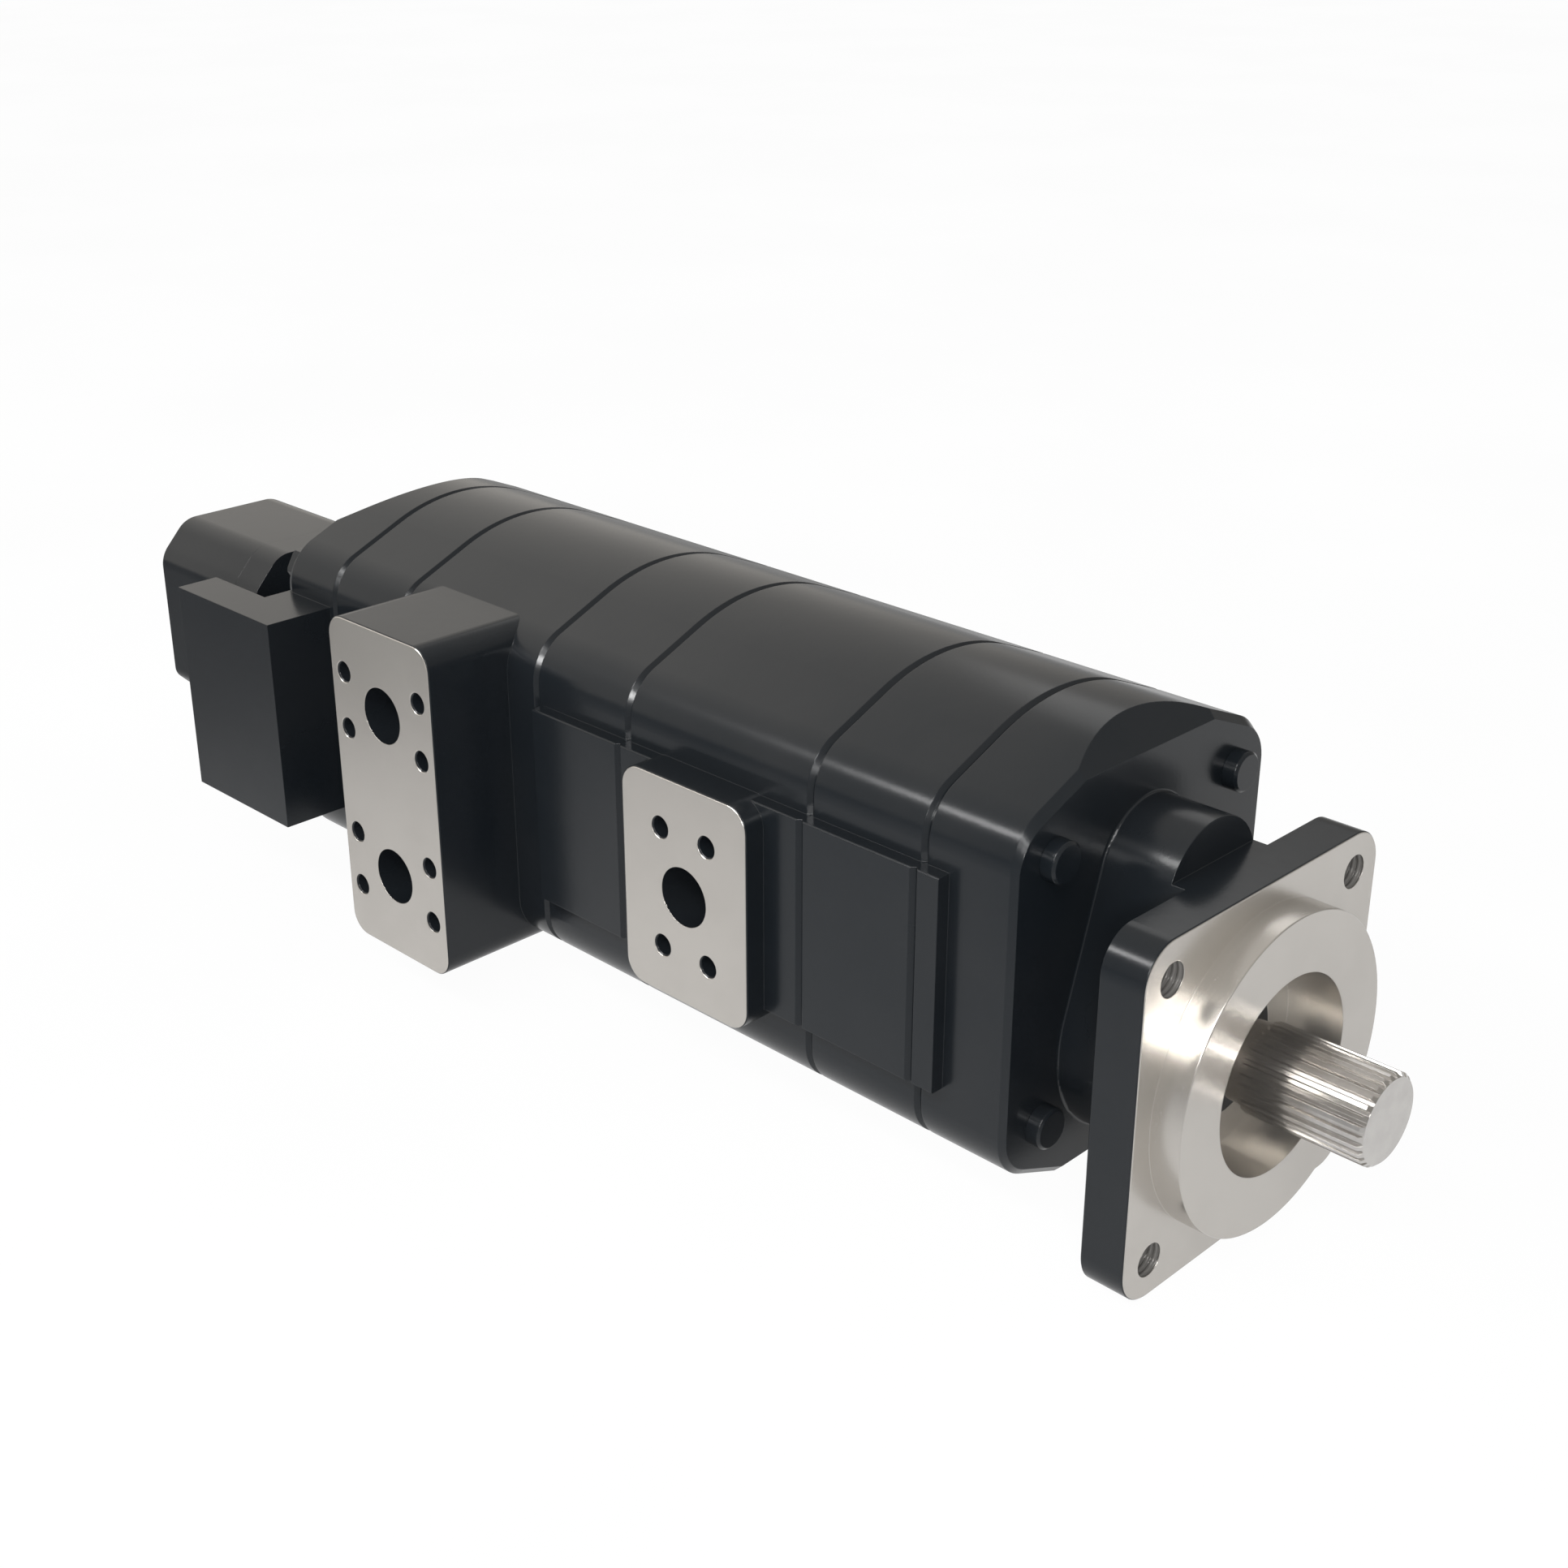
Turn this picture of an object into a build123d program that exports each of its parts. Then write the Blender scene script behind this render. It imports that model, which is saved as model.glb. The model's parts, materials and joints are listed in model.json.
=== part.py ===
from build123d import *
import math
import os

# Heavy-duty triple gear pump with a small fourth pump behind it, in millimetres.
# Origin: centre of the mounting flange's face, on the drive axis.
# +X runs out along the drive shaft, +Z is up, and the outlet ports face -Y.
# Each driven gear turns on an axis above the drive axis.

# --- Clearances ---
locating_fit = 0.02        # pressed or located pieces, per side
journal_clearance = 0.05   # shaft journals in bushings, per side
gear_end_clearance = 0.08  # gear faces to thrust plates, each end
gear_tip_clearance = 0.3   # gear tips to the housing bore
plate_clearance = 0.1      # thrust plates in the housing bore
journal_free_clearance = 0.5  # journals through plates and walls that carry no load
spline_clearance = 0.06    # coupling splines, all round
bolt_clearance = 0.5       # through bolts and screws in plain holes, per side
hole_end_clearance = 1.0   # blind hole bottoms beyond pins, screws and shaft ends
gear_backlash = 0.3        # between mating flanks on the pitch circle

# --- Mounting flange, pilot and drive shaft end ---
flange_side_step = 2.0     # from the body's side in to the flange's side
flange_thickness = 19.0
flange_corner_radius = 16.0
flange_edge_chamfer = 0.6
flange_bolt_edge = 15.75    # from the flange's side to the centre of a bolt hole
flange_thread_radius = 6.75
flange_thread_pitch = 2.31
flange_thread_depth = 1.0
thread_land_share = 0.15
pilot_flange_edge = 9.5     # from the flange's side to the pilot
pilot_height = 12.7
pilot_edge_chamfer = 0.4
recess_radius = 39.6
recess_floor_depth = 11.0
neck_length = 34.8
neck_radius = 46.0
neck_fillet = 1.0
boss_radius = 27.6
boss_centre_z = 62.4
boss_front_gap = 5.4
shaft_spline_teeth = 28
shaft_spline_tip_radius = 17.9
shaft_spline_root_radius = 16.5
shaft_spline_start = 5.0
shaft_end = 55.3
shaft_end_chamfer = 1.5
shaft_neck_radius = 15.9

# --- Main gears and their bearings ---
gear_centre_distance = 58.0
gear_teeth = 13
pressure_angle = 25.0
dedendum_share = 1.25
journal_radius = 19.05
bushing_wall = 5.4
bushing_length = 30.0
thrust_plate_thickness = 5.0
journal_end_gap = 0.6
spline_tip_share = 0.2     # half a tooth at its tip, as a share of the pitch
spline_root_share = 0.32   # and at its root
connecting_spline_teeth = 16
connecting_spline_tip_radius = 12.5
connecting_spline_root_radius = 11.4
connecting_spline_length = 22.0
connecting_shaft_radius = 11.0

# --- Main castings ---
body_half_width = 75.0
body_centre_z = 28.2
body_arc_radius = 92.0
body_arc_half_angle = 22.8
body_corner_radius = 22.0
front_cover_length = 41.9
housing_lengths = [56.6, 57.7, 50.2]
carrier_lengths = [102.0, 95.5]
rear_cover_length = 38.3
joint_chamfer = 1.8
cover_chamfer_depth = 3.2
cover_side_chamfer = 1.0
front_bevel_half_height = 80.0
rear_bevel_half_height = 78.0
rear_bevel_run = 1.49

# --- Oil ways in the castings ---
chamber_radius = 13.0
chamber_offset_y = 27.0
gallery_radius = 9.0
driven_drain_radius = 14.0
driven_drain_depth = 14.0
carrier_wall_bore_radius = 15.0

# --- Side pads and port blocks on the -Y side ---
pad_height = 6.0
pad_bottom = -14.5
pad_top = 74.0
pad_front_length = 11.7
pad_rear_inset = 3.7        # from the joint in front of the double port block
pad_edge_chamfer = 0.5
port_radius = 12.7
port_long_pitch = 52.37
port_short_pitch = 26.19
port_thread_radius = 4.25
port_thread_depth = 20.0
port_thread_countersink = 0.8
port_block_corner_radius = 10.0
port_face_chamfer = 0.6
port_bore_end_depth = 10.0
single_block_height = 15.5
single_block_half_length = 35.1
single_block_half_height = 48.35
single_block_centre_x = -206.3
port_centre_z = 26.0
double_block_height = 40.8
double_block_root_depth = 31.0
double_block_half_length = 35.3
double_block_half_height = 76.65
double_block_centre_x = -366.5
double_port_half_pitch = 38.1

# --- Suction ports on the +Y side ---
suction_block_height = 7.0
suction_half_length = 34.0
suction_half_height = 48.0
suction_radius = 19.05
suction_long_pitch = 69.85
suction_short_pitch = 35.71
suction_thread_radius = 5.4
suction_thread_depth = 20.0
suction_bore_end_depth = 29.0

# --- Side block cast on the rear cover ---
side_block_front = 34.0
side_block_height = 34.0
side_block_arm_thickness = 20.7
side_block_arm_length = 41.7
side_block_bottom = -22.3
side_block_top = 79.0

# --- Through bolts, dowels and section seals ---
bolt_edge_distance = 20.0
bolt_half_pitch_z = 54.25
bolt_shank_radius = 6.0
bolt_head_radius = 8.2
bolt_head_height = 6.4
bolt_head_chamfer = 1.0
washer_radius = 11.0
washer_thickness = 2.5
nut_across_flats = 18.0
nut_height = 13.0
nut_crown_share = 0.54
bolt_tip_length = 4.0
dowel_radius = 5.0
dowel_half_length = 11.0
dowel_edge_distance = 13.0
dowel_half_pitch_z = 24.0
seal_groove_land = 8.2
seal_width = 3.0
seal_depth = 2.4
shaft_seal_radius = 26.0
shaft_seal_length = 10.0
seal_wall_share = 0.25
seal_web_share = 0.4

# --- Adapter between the main pump and the rear pump ---
adapter_flange_radius = 47.5
adapter_edge_chamfer = 1.0
adapter_washer_gap = 2.0
adapter_flange_thickness = 14.0
adapter_barrel_radius = 29.0
adapter_bore_radius = 21.0
adapter_length = 81.0
adapter_screw_circle_radius = 37.5
adapter_rear_screw_edge = 7.5
adapter_screw_radius = 4.0
adapter_screw_head_radius = 6.5
adapter_screw_head_height = 8.0
adapter_head_gap = 0.8
adapter_screw_grip = 15.0
screw_socket_share = 0.8
coupling_head_radius = 17.0
coupling_head_length = 42.0
coupling_head_gap = 22.0
coupling_head_chamfer = 1.0
rear_spline_teeth = 12
rear_spline_tip_radius = 9.3
rear_spline_root_radius = 8.4
rear_spline_length = 24.0

# --- Rear pump ---
rear_pump_length = 91.0
rear_front_cover_length = 20.0
rear_pocket_depth = 54.0
rear_half_width = 45.0
rear_half_height = 48.35
rear_top_chamfer_y = 16.5
rear_top_chamfer_z = 17.4
rear_top_corner_radius = 15.0
rear_foot_chamfer = 12.0
rear_foot_corner_radius = 8.0
rear_edge_chamfer = 0.8
rear_centre_distance = 37.5
rear_gear_teeth = 12
rear_journal_radius = 10.0
rear_block_length = 15.5
rear_block_fit = 0.04
rear_port_radius = 7.0
rear_port_thread_radius = 10.2
rear_port_thread_depth = 14.0
rear_port_spot_radius = 16.0
rear_port_spot_depth = 0.8
rear_bolt_half_pitch_y = 32.0
rear_bolt_half_pitch_z = 31.0
rear_bolt_radius = 4.0
rear_bolt_head_radius = 6.5
rear_bolt_head_height = 8.0
rear_bolt_head_gap = 0.7
rear_seal_radius = 16.0
rear_seal_length = 8.0
rear_ring_land = 3.0
rear_ring_width = 2.0
rear_ring_depth = 1.5

# --- Places worked out from the sizes above ---
cover_front_x = -(flange_thickness + neck_length)
flange_half_side = body_half_width - flange_side_step
flange_bolt_half_pitch = flange_half_side - flange_bolt_edge
pilot_radius = flange_half_side - pilot_flange_edge
joint_a = cover_front_x - front_cover_length
joint_b = joint_a - housing_lengths[0]
joint_c = joint_b - carrier_lengths[0]
joint_d = joint_c - housing_lengths[1]
joint_e = joint_d - carrier_lengths[1]
joint_f = joint_e - housing_lengths[2]
rear_face_x = joint_f - rear_cover_length
rear_pump_front_x = rear_face_x - adapter_length
rear_joint_x = rear_pump_front_x - rear_front_cover_length
rear_pump_end_x = rear_pump_front_x - rear_pump_length
rear_bolt_seat_x = rear_pump_end_x + rear_bolt_head_height
driven_z = gear_centre_distance
gear_mid_z = gear_centre_distance / 2
rear_driven_z = rear_centre_distance
rear_mid_z = rear_centre_distance / 2
pad_plane = body_half_width + pad_height
single_block_plane = body_half_width + single_block_height
double_block_plane = body_half_width + double_block_height
suction_plane = body_half_width + suction_block_height
side_block_plane = body_half_width + side_block_height
port_bore_end_y = body_half_width - port_bore_end_depth
suction_bore_end_y = body_half_width - suction_bore_end_depth

gear_module = gear_centre_distance / gear_teeth
gear_tip_radius = gear_centre_distance / 2 + gear_module
gear_bore_radius = gear_tip_radius + gear_tip_clearance
rear_module = rear_centre_distance / rear_gear_teeth
rear_tip_radius = rear_centre_distance / 2 + rear_module
rear_bore_radius = rear_tip_radius + gear_tip_clearance
bushing_radius = journal_radius + bushing_wall
bushing_bore_radius = bushing_radius + locating_fit
shaft_passage_radius = journal_radius + journal_free_clearance
seal_groove_inner = gear_bore_radius + seal_groove_land
nut_crown_radius = nut_crown_share * nut_across_flats
bolt_y = body_half_width - bolt_edge_distance
dowel_y = body_half_width - dowel_edge_distance
bolt_places = [
    (y, gear_mid_z + z)
    for y in (-bolt_y, bolt_y)
    for z in (-bolt_half_pitch_z, bolt_half_pitch_z)
]
dowel_places = [(-dowel_y, gear_mid_z - dowel_half_pitch_z), (dowel_y, gear_mid_z + dowel_half_pitch_z)]
section_joints = [joint_a, joint_b, joint_c, joint_d, joint_e, joint_f]
section_ends = [(joint_a, joint_b), (joint_c, joint_d), (joint_e, joint_f)]
adapter_front_places = [
    (adapter_screw_circle_radius * math.cos(a), adapter_screw_circle_radius * math.sin(a))
    for a in (math.radians(45 + 90 * i) for i in range(4))
]
adapter_rear_screw_y = rear_half_width - adapter_rear_screw_edge
adapter_rear_places = [(-adapter_rear_screw_y, 0.0), (adapter_rear_screw_y, 0.0)]
rear_bolt_places = [
    (y, rear_mid_z + z)
    for y in (-rear_bolt_half_pitch_y, rear_bolt_half_pitch_y)
    for z in (-rear_bolt_half_pitch_z, rear_bolt_half_pitch_z)
]

near = 1e-3  # how close two places are to count as one
nodes = {}


# --- Basic shapes ---
def across(x):
    """Plane square to the drive axis at x, drawn in Y and Z."""
    return Plane(origin=(x, 0, 0), x_dir=(0, 1, 0), z_dir=(1, 0, 0))


def prism(sketch, x_rear, x_front):
    """Sketch in Y and Z drawn out along X."""
    return extrude(across(x_rear) * sketch, amount=x_front - x_rear, dir=(1, 0, 0))


def rod(radius, x_rear, x_front, y=0.0, z=0.0):
    """Cylinder along X."""
    return Pos((x_rear + x_front) / 2, y, z) * Rot(0, 90, 0) * Cylinder(radius, x_front - x_rear)


def cross_rod(radius, y_low, y_high, x, z):
    """Cylinder along Y."""
    return Pos(x, (y_low + y_high) / 2, z) * Rot(90, 0, 0) * Cylinder(radius, y_high - y_low)


def block(x_limits, y_limits, z_limits):
    """Box between limits."""
    size = [high - low for low, high in (x_limits, y_limits, z_limits)]
    centre = [(low + high) / 2 for low, high in (x_limits, y_limits, z_limits)]
    return Pos(*centre) * Box(*size)


def cone_rod(radius_rear, radius_front, x_rear, x_front, y=0.0, z=0.0):
    """Cone along X."""
    cone = Cone(radius_rear, radius_front, x_front - x_rear)
    return Pos((x_rear + x_front) / 2, y, z) * Rot(0, 90, 0) * cone


def drilled(start, end, radius):
    """Round oil way between two points, run on past its start by its own radius."""
    start, end = Vector(*start), Vector(*end)
    run = (end - start).normalized()
    begin = start - run * radius
    upright = (Align.CENTER, Align.CENTER, Align.MIN)
    way = Plane(origin=begin, z_dir=run) * Cylinder(radius, (end - begin).length, align=upright)
    return way + Pos(*end) * Sphere(radius)


def body_outline(side_inset=0.0, arc_inset=0.0):
    """Section of the main castings: flat sides, sloped shoulders, a shallow arc above and below."""
    half_width = body_half_width - side_inset
    arc_radius = body_arc_radius - arc_inset
    angle = math.radians(body_arc_half_angle)
    arc_y = arc_radius * math.sin(angle)
    arc_z = arc_radius * math.cos(angle)
    corner_z = (arc_radius - math.sin(angle) * half_width) / math.cos(angle)
    edges = [
        Line((-half_width, -corner_z), (-half_width, corner_z)),
        Line((-half_width, corner_z), (-arc_y, arc_z)),
        ThreePointArc((-arc_y, arc_z), (0, arc_radius), (arc_y, arc_z)),
        Line((arc_y, arc_z), (half_width, corner_z)),
        Line((half_width, corner_z), (half_width, -corner_z)),
        Line((half_width, -corner_z), (arc_y, -arc_z)),
        ThreePointArc((arc_y, -arc_z), (0, -arc_radius), (-arc_y, -arc_z)),
        Line((-arc_y, -arc_z), (-half_width, -corner_z)),
    ]
    face = make_face(edges)
    corners = [v for v in face.vertices() if abs(abs(v.Y) - corner_z) < near]
    corner_radius = body_corner_radius - max(side_inset, arc_inset)
    return Pos(0, body_centre_z) * fillet(corners, corner_radius)


def tapered_web(radius_low, z_low, radius_high, z_high):
    """Two circles one above the other, joined by their outer tangents."""
    tilt = math.asin((radius_low - radius_high) / (z_high - z_low))
    low = (radius_low * math.cos(tilt), z_low + radius_low * math.sin(tilt))
    high = (radius_high * math.cos(tilt), z_high + radius_high * math.sin(tilt))
    web = make_face(Polyline((-low[0], low[1]), low, high, (-high[0], high[1]), close=True))
    return web + Pos(0, z_low) * Circle(radius_low) + Pos(0, z_high) * Circle(radius_high)


def twin_circle(radius, z_high):
    """Two equal circles on the drive axis and on the driven axis."""
    return Circle(radius) + Pos(0, z_high) * Circle(radius)


def racetrack(radius):
    """Round-ended outline about both main gear axes."""
    return Pos(0, gear_mid_z) * SlotCenterToCenter(gear_centre_distance, 2 * radius, rotation=90)


# --- Toothed shapes ---
def gear_outline(teeth, pitch_radius):
    """Involute gear section with one tooth pointing up, thinned by half the backlash."""
    module = 2 * pitch_radius / teeth
    slant = math.radians(pressure_angle)
    base_radius = pitch_radius * math.cos(slant)
    tip_radius = pitch_radius + module
    root_radius = pitch_radius - dedendum_share * module
    involute_at_pitch = math.tan(slant) - slant
    half_tooth = math.pi / (2 * teeth) - gear_backlash / (4 * pitch_radius)

    def flank_point(radius, centre_angle, side):
        slope = math.acos(min(1.0, base_radius / radius))
        offset = half_tooth + involute_at_pitch - (math.tan(slope) - slope)
        angle = math.pi / 2 + centre_angle + side * offset
        return (radius * math.cos(angle), radius * math.sin(angle))

    def point(radius, angle):
        return (radius * math.cos(angle), radius * math.sin(angle))

    step = 2 * math.pi / teeth
    mid_radius = (base_radius + tip_radius) / 2
    root_half_gap = step / 2 - half_tooth - involute_at_pitch
    edges = []
    for i in range(teeth):
        centre = i * step
        up = math.pi / 2 + centre
        right = [flank_point(r, centre, -1) for r in (base_radius, mid_radius, tip_radius)]
        left = [flank_point(r, centre, 1) for r in (base_radius, mid_radius, tip_radius)]
        root_right = point(root_radius, up - half_tooth - involute_at_pitch)
        root_left = point(root_radius, up + half_tooth + involute_at_pitch)
        next_root = point(root_radius, up + step - half_tooth - involute_at_pitch)
        root_mid = point(root_radius, up + half_tooth + involute_at_pitch + root_half_gap)
        edges.append(Line(root_right, right[0]))
        edges.append(ThreePointArc(right[0], right[1], right[2]))
        edges.append(ThreePointArc(right[2], point(tip_radius, up), left[2]))
        edges.append(ThreePointArc(left[2], left[1], left[0]))
        edges.append(Line(left[0], root_left))
        edges.append(ThreePointArc(root_left, root_mid, next_root))
    return make_face(edges)


def spline_outline(teeth, tip_radius, root_radius, grow=0.0):
    """Straight-sided spline section, grown all round by a clearance when it is a socket."""
    step = 2 * math.pi / teeth
    tip_half = spline_tip_share * step + grow / tip_radius
    root_half = spline_root_share * step + grow / root_radius
    points = []
    for i in range(teeth):
        centre = math.pi / 2 + i * step
        for radius, angle in (
            (root_radius + grow, centre - root_half),
            (tip_radius + grow, centre - tip_half),
            (tip_radius + grow, centre + tip_half),
            (root_radius + grow, centre + root_half),
        ):
            points.append((radius * math.cos(angle), radius * math.sin(angle)))
    return make_face(Polyline(*points, close=True))


def connecting_spline(grow=0.0):
    return spline_outline(
        connecting_spline_teeth, connecting_spline_tip_radius, connecting_spline_root_radius, grow
    )


def rear_spline(grow=0.0):
    return spline_outline(rear_spline_teeth, rear_spline_tip_radius, rear_spline_root_radius, grow)


def connecting_socket(x_rear, x_front):
    """Splined socket that takes a connecting shaft."""
    return prism(connecting_spline(spline_clearance), x_rear, x_front)


# --- Features shared by the castings ---
def section_slab(x_rear, x_front, rear_joint, front_joint):
    """Length of the body section, with a chamfer round each end that meets a joint."""
    slab = prism(body_outline(), x_rear, x_front)
    ends = slab.faces().sort_by(Axis.X)
    rims = ends[0].edges() if rear_joint else []
    rims += ends[-1].edges() if front_joint else []
    return chamfer(rims, joint_chamfer)


def side_pad(x_rear, x_front, rear_joint=True, front_joint=True):
    """Raised strip on the -Y side, carried on from casting to casting."""
    root_y = -body_half_width + joint_chamfer + 1
    strip = block((x_rear, x_front), (-pad_plane, root_y), (pad_bottom, pad_top))
    ends = strip.faces().sort_by(Axis.Y)[0].edges().filter_by(Axis.Z).sort_by(Axis.X)
    joints = ends[:1] if rear_joint else []
    joints += ends[1:] if front_joint else []
    strip = chamfer(joints, joint_chamfer)
    long_edges = strip.edges().filter_by(Axis.X).group_by(Axis.Y)[0]
    return chamfer(long_edges, pad_edge_chamfer)


def rounded_block(centre_x, centre_z, half_length, half_height, corner_radius, y_face, y_root):
    """Port block standing out along Y, with rounded corners and a broken edge round its face."""
    outline = RectangleRounded(2 * half_length, 2 * half_height, corner_radius)
    toward = 1 if y_face > y_root else -1
    start = Plane(origin=(centre_x, y_root, centre_z), x_dir=(1, 0, 0), z_dir=(0, toward, 0))
    solid = extrude(start * outline, amount=abs(y_face - y_root), dir=(0, toward, 0))
    face = solid.faces().sort_by(Axis.Y)[-1 if toward > 0 else 0]
    return chamfer(face.edges(), port_face_chamfer)


def tapped_holes(centre_x, centre_z, pitch_x, pitch_z, radius, depth, y_face):
    """Four tapped holes of a port flange, with a small countersink at each mouth."""
    inward = 1 if y_face < 0 else -1
    cuts = []
    for x in (centre_x - pitch_x / 2, centre_x + pitch_x / 2):
        for z in (centre_z - pitch_z / 2, centre_z + pitch_z / 2):
            ends = sorted((y_face - inward, y_face + inward * depth))
            cuts.append(cross_rod(radius, ends[0], ends[1], x, z))
            sink = Cone(radius + port_thread_countersink, radius, port_thread_countersink)
            sink_y = y_face + inward * port_thread_countersink / 2
            cuts.append(Pos(x, sink_y, z) * Rot(-90 * inward, 0, 0) * sink)
    return cuts


def bolt_holes(x_rear, x_front):
    return [rod(bolt_shank_radius + bolt_clearance, x_rear - 1, x_front + 1, y, z) for y, z in bolt_places]


def dowel_holes(joint_x, direction):
    """Two blind dowel holes from a joint into the casting on one side of it."""
    depth = dowel_half_length + hole_end_clearance
    ends = sorted((joint_x - direction, joint_x + direction * depth))
    return [rod(dowel_radius + locating_fit, ends[0], ends[1], y, z) for y, z in dowel_places]


def bushing_bores(joint_x, direction):
    """Bearing bores for both shafts from a joint into a cover or carrier."""
    ends = sorted((joint_x - direction, joint_x + direction * bushing_length))
    return [rod(bushing_bore_radius, ends[0], ends[1], 0, z) for z in (0, driven_z)]


def beyond(z_cut, x_cut, run, above):
    """Wedge that bevels a cover's arc: everything outside a plane through (x_cut, z_cut)."""
    reach = body_arc_radius
    side = 1 if above else -1
    face = make_face(
        Polyline(
            (x_cut - run * reach, z_cut + side * reach),
            (x_cut + run, z_cut - side),
            (x_cut + run, z_cut + side * reach),
            close=True,
        )
    )
    plane = Plane(origin=(0, -2 * body_half_width, 0), x_dir=(1, 0, 0), z_dir=(0, -1, 0))
    return extrude(plane * face, amount=4 * body_half_width, dir=(0, 1, 0))


def chamfered_end(x_edge, x_full):
    """End of a cover where the outline draws in towards its outer face."""
    small = across(x_edge) * body_outline(cover_side_chamfer, cover_chamfer_depth)
    full = across(x_full) * body_outline()
    return loft([small, full] if x_edge < x_full else [full, small], ruled=True)


# --- Castings of the main pump ---
def threaded_hole_cut(y, z):
    """Tapped hole right through the flange, its thread drawn as rings."""
    half = flange_thread_pitch / 2
    land = thread_land_share * flange_thread_pitch
    cut = rod(flange_thread_radius, -flange_thickness - 1, 1, y, z)
    count = int(flange_thickness / flange_thread_pitch)
    crest = flange_thread_radius + flange_thread_depth
    for i in range(count):
        middle = -(i + 0.5) * flange_thread_pitch
        cut += cone_rod(flange_thread_radius, crest, middle - half + land, middle, y, z)
        cut += cone_rod(crest, flange_thread_radius, middle, middle + half - land, y, z)
    return cut


def make_front_cover():
    square = RectangleRounded(2 * flange_half_side, 2 * flange_half_side, flange_corner_radius)
    plate = prism(square, -flange_thickness, 0)
    rims = plate.faces().sort_by(Axis.X)
    plate = chamfer(rims[0].edges() + rims[-1].edges(), flange_edge_chamfer)
    pilot = rod(pilot_radius, -1, pilot_height)
    pilot = chamfer(pilot.faces().sort_by(Axis.X)[-1].edges(), pilot_edge_chamfer)
    web = tapered_web(neck_radius, 0, boss_radius, boss_centre_z)
    neck = prism(web, cover_front_x - 1, -flange_thickness + flange_edge_chamfer + 1)
    boss_step = -flange_thickness - boss_front_gap
    above_flange = (flange_half_side, 2 * flange_half_side)
    neck -= block((boss_step, 0), (-flange_half_side, flange_half_side), above_flange)
    slab = section_slab(joint_a, cover_front_x - cover_chamfer_depth, True, False)
    slab += chamfered_end(cover_front_x, cover_front_x - cover_chamfer_depth)
    for above in (True, False):
        z_cut = body_centre_z + (front_bevel_half_height if above else -front_bevel_half_height)
        slab -= beyond(z_cut, cover_front_x, 1.0, above)
    solid = slab + neck
    rims = [e.center() for e in slab.edges()]
    meeting = [
        e for e in solid.edges()
        if abs(e.center().X - cover_front_x) < near and e.bounding_box().size.X < near
        and min((e.center() - rim).length for rim in rims) > near
    ]
    solid = fillet(meeting, neck_fillet)
    solid += plate + pilot
    solid += side_pad(joint_a, joint_a + pad_front_length, front_joint=False)
    seal_end = -recess_floor_depth - shaft_seal_length
    cuts = [
        rod(recess_radius, -recess_floor_depth, pilot_height + 1),
        rod(shaft_seal_radius + locating_fit, seal_end, 0),
        rod(shaft_passage_radius, joint_a, seal_end + 1),
        rod(driven_drain_radius, joint_a, joint_a + bushing_length + driven_drain_depth, 0, driven_z),
    ]
    cuts += bushing_bores(joint_a, 1)
    cuts += bolt_holes(joint_a, cover_front_x)
    cuts += dowel_holes(joint_a, 1)
    for y in (-flange_bolt_half_pitch, flange_bolt_half_pitch):
        for z in (-flange_bolt_half_pitch, flange_bolt_half_pitch):
            cuts.append(threaded_hole_cut(y, z))
    return solid - cuts


def make_gear_housing(x_rear, x_front):
    solid = section_slab(x_rear, x_front, True, True)
    if x_rear > joint_d:
        solid += side_pad(x_rear, x_front)
    elif x_front > joint_d:
        solid += side_pad(x_rear + pad_rear_inset, x_front, rear_joint=False)
    cuts = [prism(twin_circle(gear_bore_radius, driven_z), x_rear - 1, x_front + 1)]
    for y in (-chamber_offset_y, chamber_offset_y):
        cuts.append(rod(chamber_radius, x_rear - 1, x_front + 1, y, gear_mid_z))
    groove = racetrack(seal_groove_inner + seal_width) - racetrack(seal_groove_inner)
    cuts.append(prism(groove, x_front - seal_depth, x_front + 1))
    cuts.append(prism(groove, x_rear - 1, x_rear + seal_depth))
    cuts += bolt_holes(x_rear, x_front)
    cuts += dowel_holes(x_front, -1)
    cuts += dowel_holes(x_rear, 1)
    return solid - cuts


def carrier_cavities(x_rear, x_front):
    """Bearing bores at both ends, the bores between them, suction port, bolt and dowel holes."""
    middle = (x_rear + x_front) / 2
    cuts = bushing_bores(x_front, -1) + bushing_bores(x_rear, 1)
    cuts += [rod(carrier_wall_bore_radius, x_rear + 1, x_front - 1, 0, z) for z in (0, driven_z)]
    cuts.append(cross_rod(suction_radius, suction_bore_end_y, suction_plane + 1, middle, gear_mid_z))
    port_end = (middle, suction_bore_end_y + gallery_radius, gear_mid_z)
    for x in (x_rear, x_front):
        cuts.append(drilled((x, chamber_offset_y, gear_mid_z), port_end, gallery_radius))
    cuts += tapped_holes(
        middle, gear_mid_z, suction_short_pitch, suction_long_pitch,
        suction_thread_radius, suction_thread_depth, suction_plane,
    )
    cuts += bolt_holes(x_rear, x_front)
    cuts += dowel_holes(x_front, -1)
    cuts += dowel_holes(x_rear, 1)
    return cuts


def suction_block(x_rear, x_front):
    middle = (x_rear + x_front) / 2
    return rounded_block(
        middle, gear_mid_z, suction_half_length, suction_half_height,
        port_block_corner_radius, suction_plane, body_half_width - port_block_corner_radius,
    )


def outlet(centre_x, centre_z, pitch_x, pitch_z, y_face, joint_x):
    """Outlet port: bore, its oil way to the joint it serves, and its four tapped holes."""
    way_end = (centre_x, -port_bore_end_y - gallery_radius, centre_z)
    cuts = [
        cross_rod(port_radius, -y_face - 1, -port_bore_end_y, centre_x, centre_z),
        drilled((joint_x, -chamber_offset_y, gear_mid_z), way_end, gallery_radius),
    ]
    return cuts + tapped_holes(
        centre_x, centre_z, pitch_x, pitch_z, port_thread_radius, port_thread_depth, -y_face
    )


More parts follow.
